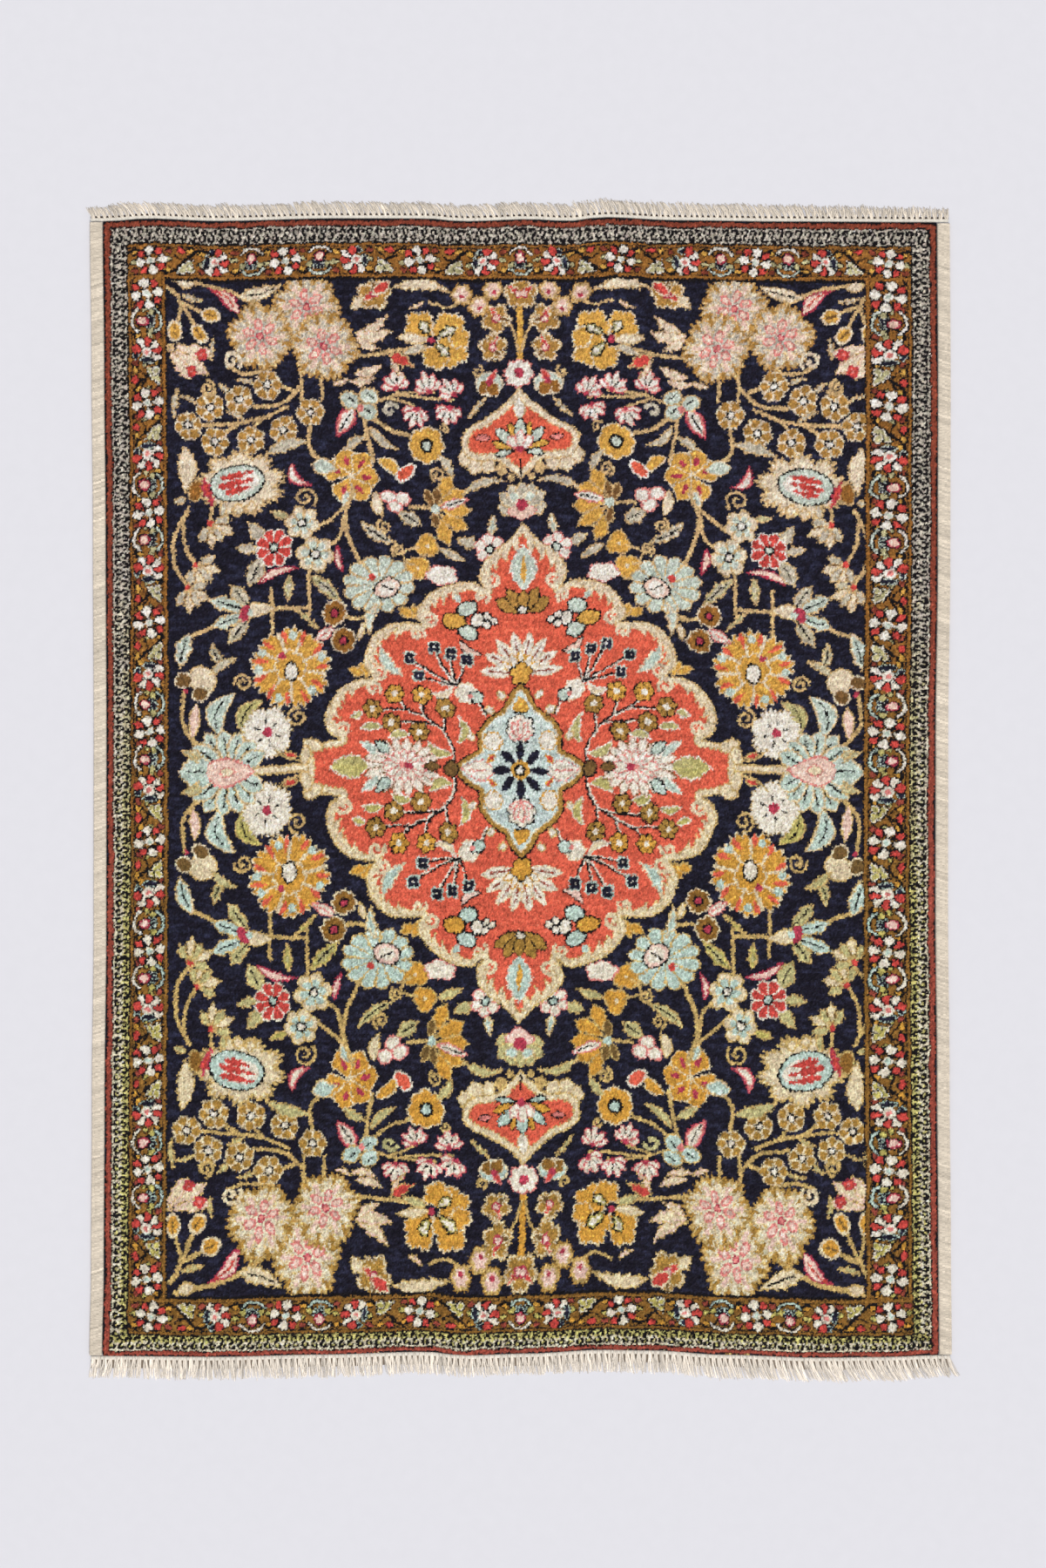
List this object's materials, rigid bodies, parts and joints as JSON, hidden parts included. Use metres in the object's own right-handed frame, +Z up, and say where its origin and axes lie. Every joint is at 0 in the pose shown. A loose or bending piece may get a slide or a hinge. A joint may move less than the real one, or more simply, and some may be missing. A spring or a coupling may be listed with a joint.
{
  "type": "persian rug",
  "caption": "Flat hand-knotted silk floor rug with a central medallion, flowering field, patterned borders, overcast side cords and a short tied fringe at each end.",
  "frame": {"origin": "middle of the underside of the whole rug, fringes included", "axes": "+X across the rug, +Y along its length towards the shorter fringe, +Z up out of the pile"},
  "size_m": [0.9954, 1.359, 0.005],
  "materials": {
    "silk_pile": "knotted silk pile, soft sheen",
    "side_cord": "overcast cream yarn, matt",
    "warp_fringe": "twisted cream warp yarn, matt"
  },
  "bodies": {
    "root": {"carpet": "silk_pile", "side_cord_left": "side_cord", "side_cord_right": "side_cord", "fringe_far": "warp_fringe", "fringe_near": "warp_fringe"}
  },
  "joints": []
}
